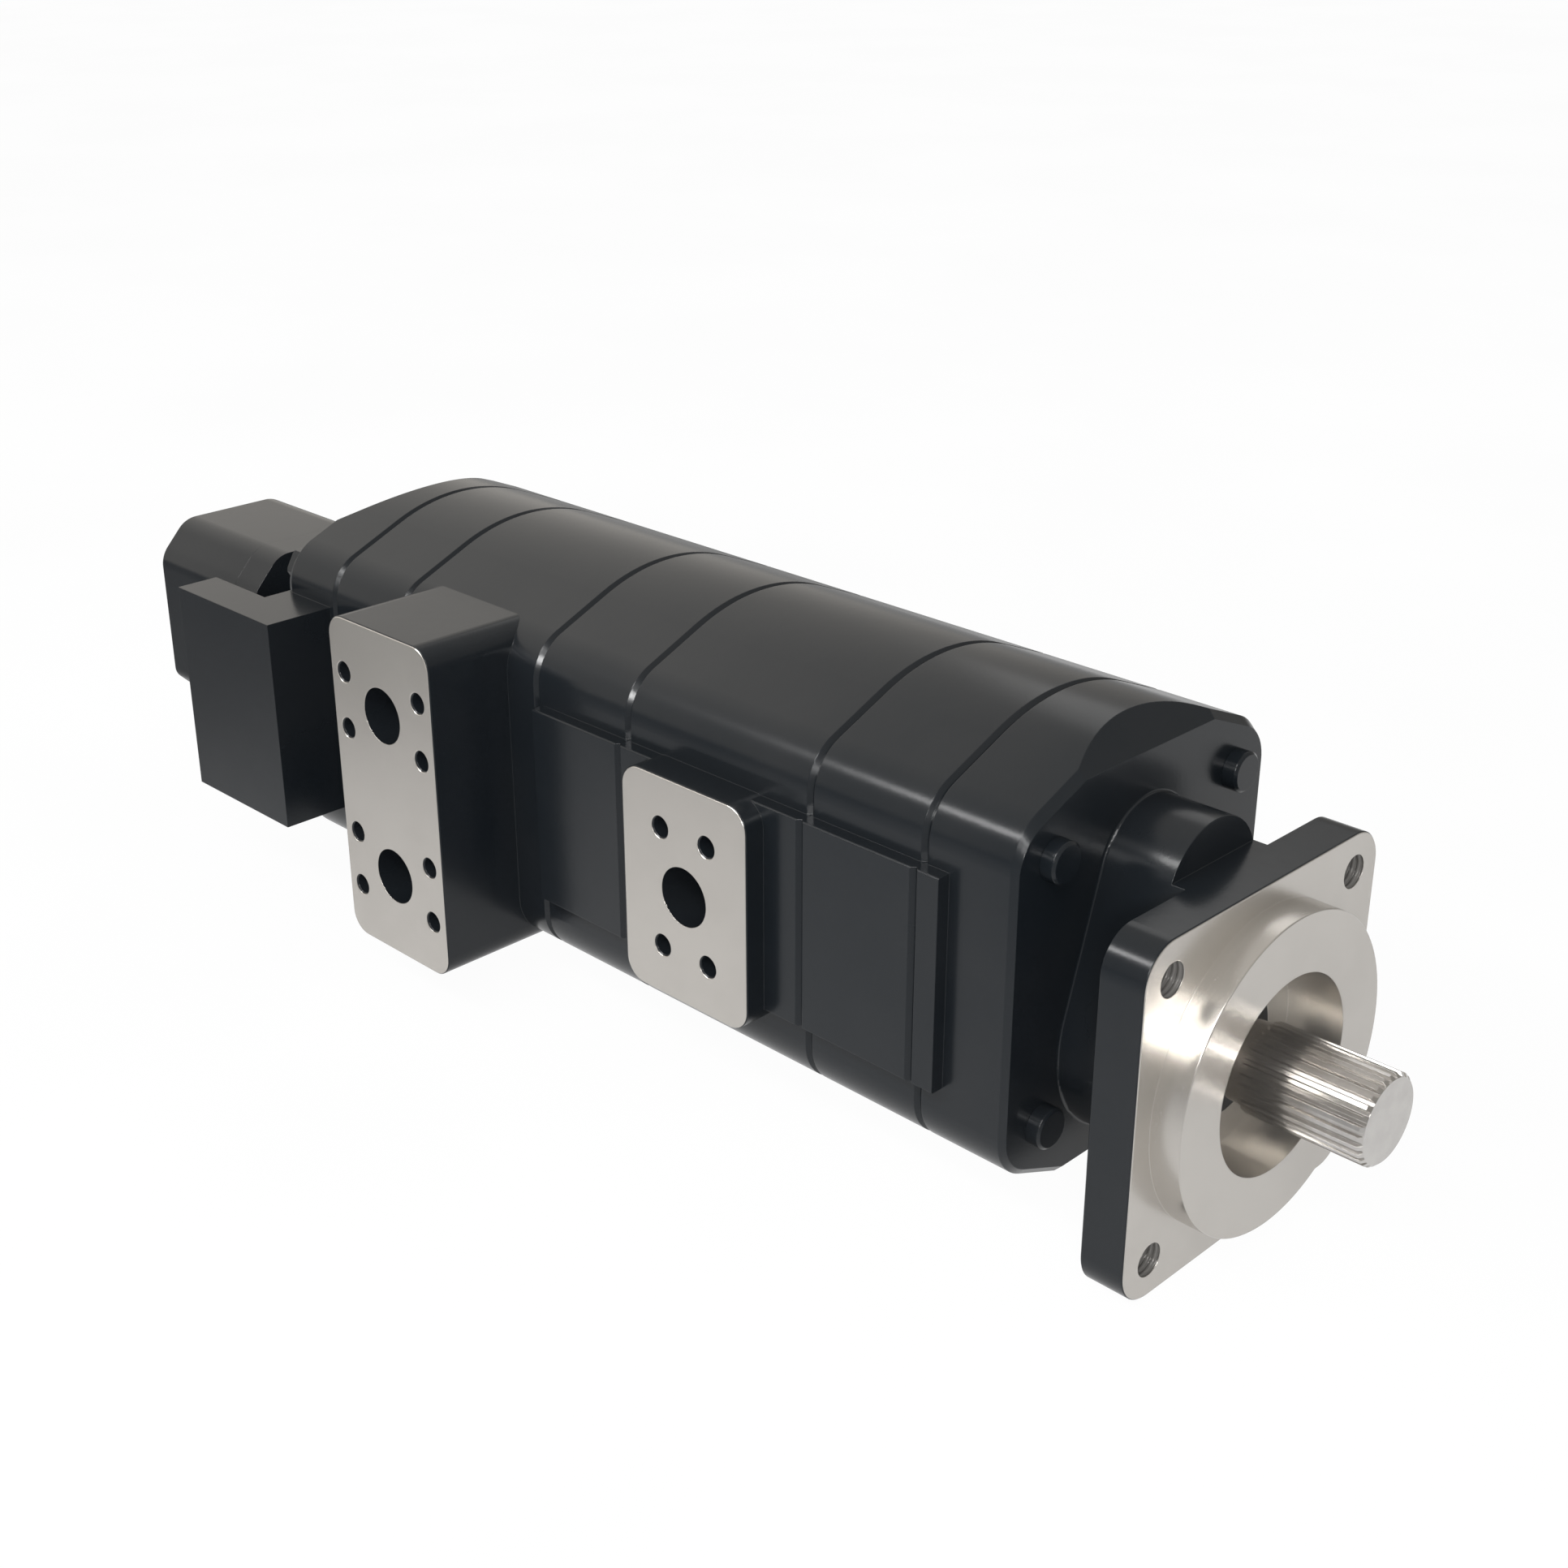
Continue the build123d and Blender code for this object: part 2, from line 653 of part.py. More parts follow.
def make_front_carrier():
    solid = section_slab(joint_c, joint_b, True, True) + side_pad(joint_c, joint_b)
    solid += rounded_block(
        single_block_centre_x, port_centre_z, single_block_half_length, single_block_half_height,
        port_block_corner_radius, -single_block_plane, -body_half_width + port_block_corner_radius,
    )
    solid += suction_block(joint_c, joint_b)
    cuts = outlet(
        single_block_centre_x, port_centre_z, port_short_pitch, port_long_pitch, single_block_plane, joint_b
    )
    return solid - (cuts + carrier_cavities(joint_c, joint_b))


def make_rear_carrier():
    solid = section_slab(joint_e, joint_d, True, True)
    solid += rounded_block(
        double_block_centre_x, port_centre_z, double_block_half_length, double_block_half_height,
        port_block_corner_radius, -double_block_plane, -body_half_width + double_block_root_depth,
    )
    solid += suction_block(joint_e, joint_d)
    cuts = []
    for z, joint_x in (
        (port_centre_z + double_port_half_pitch, joint_d),
        (port_centre_z - double_port_half_pitch, joint_e),
    ):
        cuts += outlet(
            double_block_centre_x, z, port_long_pitch, port_short_pitch, double_block_plane, joint_x
        )
    return solid - (cuts + carrier_cavities(joint_e, joint_d))


def make_rear_cover():
    solid = section_slab(rear_face_x + cover_chamfer_depth, joint_f, False, True)
    solid += chamfered_end(rear_face_x, rear_face_x + cover_chamfer_depth)
    for above in (True, False):
        z_cut = body_centre_z + (rear_bevel_half_height if above else -rear_bevel_half_height)
        solid -= beyond(z_cut, rear_face_x, -rear_bevel_run, above)
    arm_z = (side_block_bottom, side_block_top)
    arm_root = -body_half_width + joint_chamfer
    solid += block((rear_face_x, rear_face_x + side_block_front), (-side_block_plane, arm_root), arm_z)
    solid += block(
        (rear_face_x - side_block_arm_length, rear_face_x),
        (-side_block_plane, -side_block_plane + side_block_arm_thickness), arm_z,
    )
    cuts = bushing_bores(joint_f, -1)
    cuts += bolt_holes(rear_face_x, joint_f)
    cuts += dowel_holes(joint_f, -1)
    cuts.append(rod(carrier_wall_bore_radius, rear_face_x - 1, joint_f))
    screw_depth = adapter_screw_grip + hole_end_clearance
    screw_hole_radius = adapter_screw_radius + locating_fit
    for y, z in adapter_front_places:
        cuts.append(rod(screw_hole_radius, rear_face_x - 1, rear_face_x + screw_depth, y, z))
    return solid - cuts


# --- Adapter and rear pump ---
def make_adapter():
    flanges = (
        (rear_face_x - adapter_flange_thickness, rear_face_x, -1, adapter_front_places),
        (rear_pump_front_x, rear_pump_front_x + adapter_flange_thickness, 1, adapter_rear_places),
    )
    solid = rod(adapter_barrel_radius, rear_pump_front_x + 1, rear_face_x - 1)
    for x_rear, x_front, inward, places in flanges:
        disc = rod(adapter_flange_radius, x_rear, x_front)
        solid += chamfer(disc.faces().filter_by(Axis.X).edges(), adapter_edge_chamfer)
    solid -= rod(adapter_bore_radius, rear_pump_front_x - 1, rear_face_x + 1)
    relief_rear = rear_face_x - adapter_flange_thickness - 1
    for y, z in bolt_places:
        solid -= rod(washer_radius + adapter_washer_gap, relief_rear, rear_face_x + 1, y, z)
    head_room = adapter_screw_head_height + adapter_head_gap
    for x_rear, x_front, inward, places in flanges:
        seat_x = x_front if inward > 0 else x_rear
        ends = sorted((seat_x, seat_x + inward * head_room))
        for y, z in places:
            solid -= rod(adapter_screw_radius + bolt_clearance, x_rear - 1, x_front + 1, y, z)
            solid -= rod(adapter_screw_head_radius + adapter_head_gap, ends[0], ends[1], y, z)
    return solid


def rear_pump_outline():
    """Section of the rear pump: flat sides, chamfered corners and rounded edges."""
    points = []
    for y_side, z_side in ((1, 1), (-1, 1), (-1, -1), (1, -1)):
        run = rear_top_chamfer_y if z_side > 0 else rear_foot_chamfer
        rise = rear_top_chamfer_z if z_side > 0 else rear_foot_chamfer
        corner = [
            (y_side * rear_half_width, z_side * (rear_half_height - rise)),
            (y_side * (rear_half_width - run), z_side * rear_half_height),
        ]
        points += corner if y_side == z_side else corner[::-1]
    face = make_face(Polyline(*points, close=True))
    face = fillet([v for v in face.vertices() if v.Y > 0], rear_top_corner_radius)
    face = fillet([v for v in face.vertices() if v.Y < 0], rear_foot_corner_radius)
    return Pos(0, rear_mid_z) * face


def rear_ring_outline(radius):
    return Pos(0, rear_mid_z) * SlotCenterToCenter(rear_centre_distance, 2 * radius, rotation=90)


def make_rear_front_cover():
    solid = prism(rear_pump_outline(), rear_joint_x, rear_pump_front_x)
    seal_rear = rear_pump_front_x - rear_seal_length
    cuts = [
        rod(rear_seal_radius + locating_fit, seal_rear, rear_pump_front_x + 1),
        rod(rear_journal_radius + journal_free_clearance, rear_joint_x - 1, seal_rear + 1),
    ]
    for y, z in adapter_rear_places:
        cuts.append(rod(
            adapter_screw_radius + locating_fit,
            rear_pump_front_x - adapter_screw_grip - hole_end_clearance, rear_pump_front_x + 1, y, z,
        ))
    for y, z in rear_bolt_places:
        hole_front = rear_pump_front_x - hole_end_clearance
        cuts.append(rod(rear_bolt_radius + locating_fit, rear_joint_x - 1, hole_front, y, z))
    return solid - cuts


def make_rear_body():
    solid = prism(rear_pump_outline(), rear_pump_end_x, rear_joint_x)
    solid = chamfer(solid.faces().sort_by(Axis.X)[0].edges(), rear_edge_chamfer)
    pocket_end = rear_joint_x - rear_pocket_depth
    mid_x = rear_joint_x - rear_pocket_depth / 2
    cuts = [prism(twin_circle(rear_bore_radius, rear_driven_z), pocket_end, rear_joint_x + 1)]
    ring_inner = rear_bore_radius + rear_ring_land
    groove = rear_ring_outline(ring_inner + rear_ring_width) - rear_ring_outline(ring_inner)
    cuts.append(prism(groove, rear_joint_x - rear_ring_depth, rear_joint_x + 1))
    for y, z in rear_bolt_places:
        cuts.append(rod(rear_bolt_radius + bolt_clearance, rear_pump_end_x - 1, rear_joint_x + 1, y, z))
        sink_radius = rear_bolt_head_radius + rear_bolt_head_gap
        cuts.append(rod(sink_radius, rear_pump_end_x - 1, rear_bolt_seat_x, y, z))
    for side in (-1, 1):
        face_y = side * rear_half_width
        spot = sorted((face_y - side * rear_port_spot_depth, face_y + side))
        thread = sorted((face_y - side * rear_port_thread_depth, face_y + side))
        way = sorted((0.0, face_y))
        cuts.append(cross_rod(rear_port_spot_radius, spot[0], spot[1], mid_x, rear_mid_z))
        cuts.append(cross_rod(rear_port_thread_radius, thread[0], thread[1], mid_x, rear_mid_z))
        cuts.append(cross_rod(rear_port_radius, way[0], way[1], mid_x, rear_mid_z))
    return solid - cuts


def make_rear_bushing_block(x_rear, x_front):
    """Figure-of-eight bearing block that carries both rear gears at one end."""
    solid = prism(twin_circle(rear_bore_radius - rear_block_fit, rear_driven_z), x_rear, x_front)
    for z in (0, rear_driven_z):
        solid -= rod(rear_journal_radius + journal_clearance, x_rear - 1, x_front + 1, 0, z)
    return solid


# --- Bushings, plates and seals ---
def make_bushing(x_rear, x_front, z):
    ring = rod(bushing_radius, x_rear, x_front, 0, z)
    return ring - rod(journal_radius + journal_clearance, x_rear - 1, x_front + 1, 0, z)


def make_thrust_plate(x_rear, x_front):
    """Plate beside the gears, cut away where the oil chambers pass."""
    plate = prism(twin_circle(gear_bore_radius - plate_clearance, driven_z), x_rear, x_front)
    for z in (0, driven_z):
        plate -= rod(shaft_passage_radius, x_rear - 1, x_front + 1, 0, z)
    for y in (-chamber_offset_y, chamber_offset_y):
        plate -= rod(chamber_radius, x_rear - 1, x_front + 1, y, gear_mid_z)
    return plate


def make_section_seal(x_rear, x_front):
    outer = racetrack(seal_groove_inner + seal_width - locating_fit)
    return prism(outer - racetrack(seal_groove_inner + locating_fit), x_rear, x_front)


def make_lip_seal(radius, bore_radius, x_rear, x_front):
    """Shaft seal: steel case with a hollow back and a lip round the shaft."""
    ring = rod(radius, x_rear, x_front) - rod(bore_radius + journal_clearance, x_rear - 1, x_front + 1)
    wall = seal_wall_share * (radius - bore_radius)
    hollow = rod(radius - wall, x_rear - 1, x_front - seal_web_share * (x_front - x_rear))
    return ring - (hollow - rod(bore_radius + wall, x_rear - 1, x_front))


# --- Fasteners ---
def make_through_bolts():
    bolts = []
    tip_x = rear_face_x - washer_thickness - nut_height - bolt_tip_length
    for y, z in bolt_places:
        head = rod(bolt_head_radius, cover_front_x, cover_front_x + bolt_head_height, y, z)
        head = chamfer(head.faces().sort_by(Axis.X)[-1].edges(), bolt_head_chamfer)
        shank = rod(bolt_shank_radius, tip_x, cover_front_x + 1, y, z)
        shank = chamfer(shank.faces().sort_by(Axis.X)[0].edges(), bolt_head_chamfer)
        bolts.append(head + shank)
    return bolts


def make_washers():
    washers = []
    for y, z in bolt_places:
        disc = rod(washer_radius, rear_face_x - washer_thickness, rear_face_x, y, z)
        bore_radius = bolt_shank_radius + bolt_clearance
        hole = rod(bore_radius, rear_face_x - washer_thickness - 1, rear_face_x + 1, y, z)
        washers.append(disc - hole)
    return washers


def make_nuts():
    nuts = []
    x_front = rear_face_x - washer_thickness
    x_rear = x_front - nut_height
    for y, z in bolt_places:
        outline = Pos(y, z) * RegularPolygon(nut_across_flats / 2, 6, major_radius=False)
        hexagon = prism(outline, x_rear, x_front)
        crown = cone_rod(nut_crown_radius, nut_crown_radius + nut_height, x_rear, x_front, y, z)
        hole = rod(bolt_shank_radius + locating_fit, x_rear - 1, x_front + 1, y, z)
        nuts.append((hexagon & crown) - hole)
    return nuts


def cap_screw(radius, head_radius, head_height, grip, y, z, seat_x, direction):
    """Socket-head screw: its head stands on seat_x and its shank runs the way direction points."""
    head_ends = sorted((seat_x, seat_x - direction * head_height))
    shank_ends = sorted((seat_x - direction * head_height / 2, seat_x + direction * grip))
    socket_ends = sorted((seat_x - direction * (head_height + 1), seat_x - direction * head_height / 2))
    screw = rod(head_radius, head_ends[0], head_ends[1], y, z)
    screw += rod(radius, shank_ends[0], shank_ends[1], y, z)
    socket = Pos(y, z) * RegularPolygon(radius * screw_socket_share, 6)
    return screw - prism(socket, socket_ends[0], socket_ends[1])


def make_adapter_screws():
    grip = adapter_flange_thickness + adapter_screw_grip
    seats = (
        (rear_face_x - adapter_flange_thickness, 1, adapter_front_places),
        (rear_pump_front_x + adapter_flange_thickness, -1, adapter_rear_places),
    )
    return [
        cap_screw(
            adapter_screw_radius, adapter_screw_head_radius, adapter_screw_head_height,
            grip, y, z, seat_x, direction,
        )
        for seat_x, direction, places in seats for y, z in places
    ]


def make_rear_bolts():
    grip = rear_pump_length - rear_bolt_head_height - 2 * hole_end_clearance
    return [
        cap_screw(
            rear_bolt_radius, rear_bolt_head_radius, rear_bolt_head_height,
            grip, y, z, rear_bolt_seat_x, 1,
        )
        for y, z in rear_bolt_places
    ]


def make_dowels():
    return [
        rod(dowel_radius, x - dowel_half_length, x + dowel_half_length, y, z)
        for x in section_joints for y, z in dowel_places
    ]


# --- Shafts and gears ---
def gear_span(x_rear, x_front):
    """Ends of the gear teeth between a section's two thrust plates."""
    inset = thrust_plate_thickness + gear_end_clearance
    return x_rear + inset, x_front - inset


def main_gear(x_rear, x_front):
    gear_rear, gear_front = gear_span(x_rear, x_front)
    return prism(gear_outline(gear_teeth, gear_centre_distance / 2), gear_rear, gear_front)


def journal_ends(x_rear, x_front):
    reach = bushing_length - journal_end_gap
    return x_rear - reach, x_front + reach


def make_drive_shaft():
    """Input shaft cut in one piece with the first section's drive gear."""
    journal_rear = journal_ends(joint_b, joint_a)[0]
    step_x = -recess_floor_depth - shaft_seal_length - hole_end_clearance
    neck = rod(shaft_neck_radius, step_x - 1, shaft_spline_start + 1)
    spline = prism(
        spline_outline(shaft_spline_teeth, shaft_spline_tip_radius, shaft_spline_root_radius),
        shaft_spline_start, shaft_end,
    )
    taper = cone_rod(
        shaft_spline_tip_radius + shaft_end_chamfer, shaft_spline_tip_radius - shaft_end_chamfer,
        shaft_end - 2 * shaft_end_chamfer, shaft_end,
    )
    spline -= rod(2 * shaft_spline_tip_radius, shaft_end - 2 * shaft_end_chamfer, shaft_end + 1) - taper
    shaft = main_gear(joint_b, joint_a) + rod(journal_radius, journal_rear, step_x) + neck + spline
    depth = connecting_spline_length + hole_end_clearance
    return shaft - connecting_socket(journal_rear - 1, journal_rear + depth)


def make_drive_gear(x_rear, x_front):
    """Drive gear with a journal and a splined socket at each end."""
    rear, front = journal_ends(x_rear, x_front)
    depth = connecting_spline_length + hole_end_clearance
    gear = main_gear(x_rear, x_front) + rod(journal_radius, rear, front)
    return gear - connecting_socket(rear - 1, rear + depth) - connecting_socket(front - depth, front + 1)


def make_driven_gear(x_rear, x_front):
    rear, front = journal_ends(x_rear, x_front)
    turned = Rot(180 + 180 / gear_teeth, 0, 0) * main_gear(x_rear, x_front)
    return Pos(0, 0, driven_z) * (turned + rod(journal_radius, rear, front))


def make_connecting_shaft(gap_rear, gap_front):
    """Shaft across the gap between two drive gears, its splined ends in their sockets."""
    spline = connecting_spline()
    shaft = rod(connecting_shaft_radius, gap_rear - 1, gap_front + 1)
    shaft += prism(spline, gap_rear - connecting_spline_length, gap_rear)
    shaft += prism(spline, gap_front, gap_front + connecting_spline_length)
    return shaft


def make_coupling_shaft():
    """Shaft from the last main drive gear, with a splined socket for the rear pump's shaft."""
    gap_front = journal_ends(joint_f, joint_e)[0]
    head_front = rear_face_x - coupling_head_gap
    head_rear = head_front - coupling_head_length
    spline = connecting_spline()
    shaft = prism(spline, gap_front, gap_front + connecting_spline_length)
    shaft += rod(connecting_shaft_radius, head_front - 1, gap_front + 1)
    head = rod(coupling_head_radius, head_rear, head_front)
    shaft += chamfer(head.faces().filter_by(Axis.X).edges(), coupling_head_chamfer)
    socket_front = head_rear + rear_spline_length + hole_end_clearance
    return shaft - prism(rear_spline(spline_clearance), head_rear - 1, socket_front)


def rear_gear():
    """Rear pump gear between its two bushing blocks, on the drive axis."""
    inset = rear_block_length + gear_end_clearance
    outline = gear_outline(rear_gear_teeth, rear_centre_distance / 2)
    return prism(outline, rear_joint_x - rear_pocket_depth + inset, rear_joint_x - inset)


def make_rear_drive_gear():
    """Rear pump drive gear with its journals and the splined stub that enters the coupling."""
    journal_rear = rear_joint_x - rear_pocket_depth + journal_end_gap
    journal_front = rear_pump_front_x - rear_seal_length - hole_end_clearance
    socket_mouth = rear_face_x - coupling_head_gap - coupling_head_length
    neck_front = socket_mouth - hole_end_clearance
    gear = rear_gear() + rod(rear_journal_radius, journal_rear, journal_front)
    gear += rod(rear_spline_tip_radius, journal_front - 1, neck_front)
    return gear + prism(rear_spline(), neck_front - 1, socket_mouth + rear_spline_length)


def make_rear_driven_gear():
    journal_rear = rear_joint_x - rear_pocket_depth + journal_end_gap
    turned = Rot(180 + 180 / rear_gear_teeth, 0, 0) * rear_gear()
    journal = rod(rear_journal_radius, journal_rear, rear_joint_x - journal_end_gap)
    return Pos(0, 0, rear_driven_z) * (turned + journal)


# --- Every node ---
def build_castings():
    nodes["front_cover"] = make_front_cover()
    for number, (x_front, x_rear) in enumerate(section_ends, 1):
        nodes[f"gear_housing_{number}"] = make_gear_housing(x_rear, x_front)
    nodes["bearing_carrier_1"] = make_front_carrier()
    nodes["bearing_carrier_2"] = make_rear_carrier()
    nodes["rear_cover"] = make_rear_cover()
    nodes["adapter"] = make_adapter()
    nodes["rear_pump_front_cover"] = make_rear_front_cover()
    nodes["rear_pump_body"] = make_rear_body()


def build_bearings_and_seals():
    for number, (x_front, x_rear) in enumerate(section_ends, 1):
        for shaft, z in (("drive", 0), ("driven", driven_z)):
            nodes[f"{shaft}_bushing_{number}_front"] = make_bushing(x_front, x_front + bushing_length, z)
            nodes[f"{shaft}_bushing_{number}_rear"] = make_bushing(x_rear - bushing_length, x_rear, z)
        plate_rear = x_front - thrust_plate_thickness
        nodes[f"thrust_plate_{number}_front"] = make_thrust_plate(plate_rear, x_front)
        nodes[f"thrust_plate_{number}_rear"] = make_thrust_plate(x_rear, x_rear + thrust_plate_thickness)
        nodes[f"section_seal_{number}_front"] = make_section_seal(x_front - seal_depth, x_front)
        nodes[f"section_seal_{number}_rear"] = make_section_seal(x_rear, x_rear + seal_depth)
    seal_x = -recess_floor_depth - shaft_seal_length
    nodes["shaft_seal"] = make_lip_seal(shaft_seal_radius, shaft_neck_radius, seal_x, -recess_floor_depth)
    pocket_end = rear_joint_x - rear_pocket_depth
    for side, x_rear in (("front", rear_joint_x - rear_block_length), ("rear", pocket_end)):
        nodes[f"rear_bushing_block_{side}"] = make_rear_bushing_block(x_rear, x_rear + rear_block_length)
    nodes["rear_shaft_seal"] = make_lip_seal(
        rear_seal_radius, rear_spline_tip_radius, rear_pump_front_x - rear_seal_length, rear_pump_front_x
    )
    inner = rear_bore_radius + rear_ring_land
    ring = rear_ring_outline(inner + rear_ring_width - locating_fit)
    ring -= rear_ring_outline(inner + locating_fit)
    nodes["rear_body_seal"] = prism(ring, rear_joint_x - rear_ring_depth, rear_joint_x)


def build_fasteners():
    nodes["through_bolts"] = Compound(make_through_bolts())
    nodes["washers"] = Compound(make_washers())
    nodes["nuts"] = Compound(make_nuts())
    nodes["dowel_pins"] = Compound(make_dowels())
    nodes["adapter_screws"] = Compound(make_adapter_screws())
    nodes["rear_pump_bolts"] = Compound(make_rear_bolts())


def build_shafts_and_gears():
    nodes["drive_shaft"] = make_drive_shaft()
    for number, (x_front, x_rear) in enumerate(section_ends, 1):
        nodes[f"driven_gear_{number}"] = make_driven_gear(x_rear, x_front)
        if number > 1:
            nodes[f"drive_gear_{number}"] = make_drive_gear(x_rear, x_front)
            gap_front = journal_ends(section_ends[number - 2][1], section_ends[number - 2][0])[0]
            gap_rear = journal_ends(x_rear, x_front)[1]
            nodes[f"connecting_shaft_{number - 1}"] = make_connecting_shaft(gap_rear, gap_front)
    nodes["coupling_shaft"] = make_coupling_shaft()
    nodes["rear_drive_gear"] = make_rear_drive_gear()
    nodes["rear_driven_gear"] = make_rear_driven_gear()


build_castings()
build_bearings_and_seals()
build_fasteners()
build_shafts_and_gears()

os.makedirs("parts", exist_ok=True)
for name, shape in nodes.items():
    export_step(shape, f"parts/{name}.step")
print(len(nodes), "nodes written")
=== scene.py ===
# Hydraulic gear pump: three big sections and a small one behind, black paint and bare machined faces.
# Everything is in metres. Origin: middle of the mounting flange's face. +X goes out along the shaft.
import json
import math

import bpy
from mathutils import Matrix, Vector


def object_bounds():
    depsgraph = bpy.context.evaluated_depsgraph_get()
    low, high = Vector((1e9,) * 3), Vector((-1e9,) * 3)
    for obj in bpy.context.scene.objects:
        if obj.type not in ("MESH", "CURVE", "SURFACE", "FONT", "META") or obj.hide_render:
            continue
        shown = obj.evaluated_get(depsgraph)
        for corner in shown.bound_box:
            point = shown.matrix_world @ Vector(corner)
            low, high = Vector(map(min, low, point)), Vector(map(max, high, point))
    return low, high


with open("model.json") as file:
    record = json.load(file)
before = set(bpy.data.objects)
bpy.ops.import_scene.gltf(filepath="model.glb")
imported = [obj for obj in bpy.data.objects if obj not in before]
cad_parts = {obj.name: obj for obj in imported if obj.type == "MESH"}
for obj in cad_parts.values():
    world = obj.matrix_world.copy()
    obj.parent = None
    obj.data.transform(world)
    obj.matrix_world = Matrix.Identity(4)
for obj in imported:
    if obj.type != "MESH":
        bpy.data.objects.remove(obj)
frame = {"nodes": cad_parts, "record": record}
nodes = frame["nodes"]
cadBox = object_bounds()
print("frame loaded:", len(nodes), "nodes")


# --- Node tree helpers ---
class Graph:
    # the node tree of a new material, or of the owner given, and short ways to add to it
    def __init__(self, name, owner=None):
        self.material = owner or bpy.data.materials.new(name)
        self.material.use_nodes = True
        self.tree = self.material.node_tree
        self.tree.nodes.clear()

    def add(self, kind, inputs=None, **settings):
        node = self.tree.nodes.new("ShaderNode" + kind)
        for key, value in settings.items():
            setattr(node, key, value)
        for key, value in (inputs or {}).items():
            self.give(node.inputs[key], value)
        return node

    def give(self, socket, value):
        if isinstance(value, bpy.types.NodeSocket):
            self.tree.links.new(value, socket)
        else:
            socket.default_value = value

    def math(self, operation, a, b=0.0):
        return self.add("Math", {0: a, 1: b}, operation=operation).outputs[0]

    def ramp(self, value, low, high, outLow=0.0, outHigh=1.0):
        # smooth step from outLow to outHigh while value goes from low to high
        node = self.add("MapRange", {"Value": value, "From Min": low, "From Max": high,
                                     "To Min": outLow, "To Max": outHigh},
                        interpolation_type="SMOOTHSTEP")
        return node.outputs["Result"]

    def noise(self, vector, scale, detail=3.0, roughness=0.55):
        node = self.add("TexNoise", {"Vector": vector, "Scale": scale, "Detail": detail,
                                     "Roughness": roughness})
        return node.outputs["Fac"]

    def mix(self, amount, a, b):
        # blend two colours
        node = self.add("Mix", data_type="RGBA")
        self.give(node.inputs[0], amount)
        self.give(node.inputs[6], a)
        self.give(node.inputs[7], b)
        return node.outputs[2]

    def blend(self, amount, a, b):
        # blend two numbers
        node = self.add("Mix", data_type="FLOAT")
        self.give(node.inputs[0], amount)
        self.give(node.inputs[2], a)
        self.give(node.inputs[3], b)
        return node.outputs[0]

    def bump(self, height, strength, distance, normal=None):
        inputs = {"Height": height, "Strength": strength, "Distance": distance}
        if normal is not None:
            inputs["Normal"] = normal
        return self.add("Bump", inputs).outputs["Normal"]

    def finish(self, **sockets):
        shader = self.add("BsdfPrincipled")
        for key, value in sockets.items():
            self.give(shader.inputs[key.replace("_", " ")], value)
        out = self.add("OutputMaterial")
        self.tree.links.new(shader.outputs[0], out.inputs["Surface"])
        return self.material


def rgb(r, g, b):
    return (r, g, b, 1.0)


# --- Paint and bare metal on the castings ---
paintLook = {
    "colour": rgb(0.0072, 0.0095, 0.0120),     # black with a trace of blue
    "dullColour": rgb(0.0112, 0.0130, 0.0152), # where the coat is thinner
    "roughness": 0.215,
    "roughnessSpread": 0.06,
    "specular": 0.38,
    "peelSize": 0.0011,                        # orange peel of the sprayed coat
    "peelHeight": 0.000018,
    "castSize": 0.0060,                        # slow waviness of the casting under it
    "castHeight": 0.000024,
    "edgeRadius": 0.00045,                     # how far edges read as rounded
    "edgeHighlightShare": 0.05,
    "edgeHighlightColour": rgb(0.09, 0.09, 0.09),       # painted edge highlight: a lighter coat along the edges
    "cloudScale": 9.0, "patchScale": 38.0, "edgeBreakupScale": 260.0,
}
bareLook = {
    "colour": rgb(0.578, 0.552, 0.516),
    "stainColour": rgb(0.548, 0.522, 0.487),
    "metallic": 0.84,                          # a dull skin scatters the rest
    "cloudScale": 24.0,
    "grainSpread": 0.10,                       # change of roughness with the grain
    "roughness": 0.25,
    "grainSize": 0.00045,
    "grainHeight": 0.000009,
    "toolPitch": 0.00045,                      # feed of the cutter
    "toolHeight": 0.0000006,
}
edgeSlack = 0.00025                            # bare metal starts this far short of a face's plane


def objectPlace(g):
    # object coordinates as x, y and z sockets, and the vector itself
    vector = g.add("TexCoord").outputs["Object"]
    split = g.add("SeparateXYZ", {0: vector})
    return vector, split.outputs[0], split.outputs[1], split.outputs[2]


def above(g, value, limit):
    return g.math("GREATER_THAN", value, limit)


def below(g, value, limit):
    return g.math("LESS_THAN", value, limit)


def distance2(g, a, b, centreA, centreB, mirrored=False):
    # distance in a plane from a centre, or from four centres mirrored about the axes
    if mirrored:
        a = g.math("ABSOLUTE", a)
        b = g.math("ABSOLUTE", b)
    da = g.math("SUBTRACT", a, centreA)
    db = g.math("SUBTRACT", b, centreB)
    return g.math("SQRT", g.math("ADD", g.math("MULTIPLY", da, da), g.math("MULTIPLY", db, db)))


def anyOf(g, masks):
    total = masks[0]
    for mask in masks[1:]:
        total = g.math("MAXIMUM", total, mask)
    return total


def allOf(g, masks):
    total = masks[0]
    for mask in masks[1:]:
        total = g.math("MULTIPLY", total, mask)
    return total


def edgeMask(g, radius):
    # 1 on convex and concave edges, 0 on open faces
    rounded = g.add("Bevel", {"Radius": radius}, samples=6).outputs[0]
    flat = g.add("NewGeometry").outputs["Normal"]
    facing = g.add("VectorMath", {0: rounded, 1: flat}, operation="DOT_PRODUCT").outputs["Value"]
    return rounded, g.ramp(facing, 0.995, 0.90)


